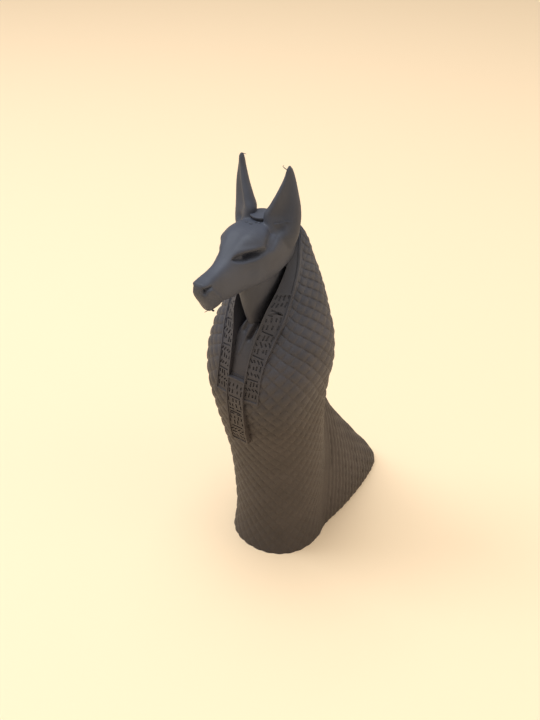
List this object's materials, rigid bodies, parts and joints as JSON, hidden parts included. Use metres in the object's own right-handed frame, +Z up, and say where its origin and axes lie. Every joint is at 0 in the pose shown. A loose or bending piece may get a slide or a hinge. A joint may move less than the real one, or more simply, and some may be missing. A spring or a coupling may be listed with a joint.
{
  "type": "anubis statue",
  "caption": "Standing jackal-headed figure with tall ears, a scaled hood with inscribed bands, a round column and a sweeping train.",
  "frame": {"origin": "middle of the statue's box, at its underside", "axes": "+Z up the figure, -Y the way the face looks, +X the figure's left side"},
  "size_m": [0.042, 0.0984, 0.15],
  "materials": {
    "printed_plastic": "matte dark charcoal printed plastic with fine layers"
  },
  "bodies": {
    "root": {"statue": "printed_plastic"}
  },
  "joints": []
}
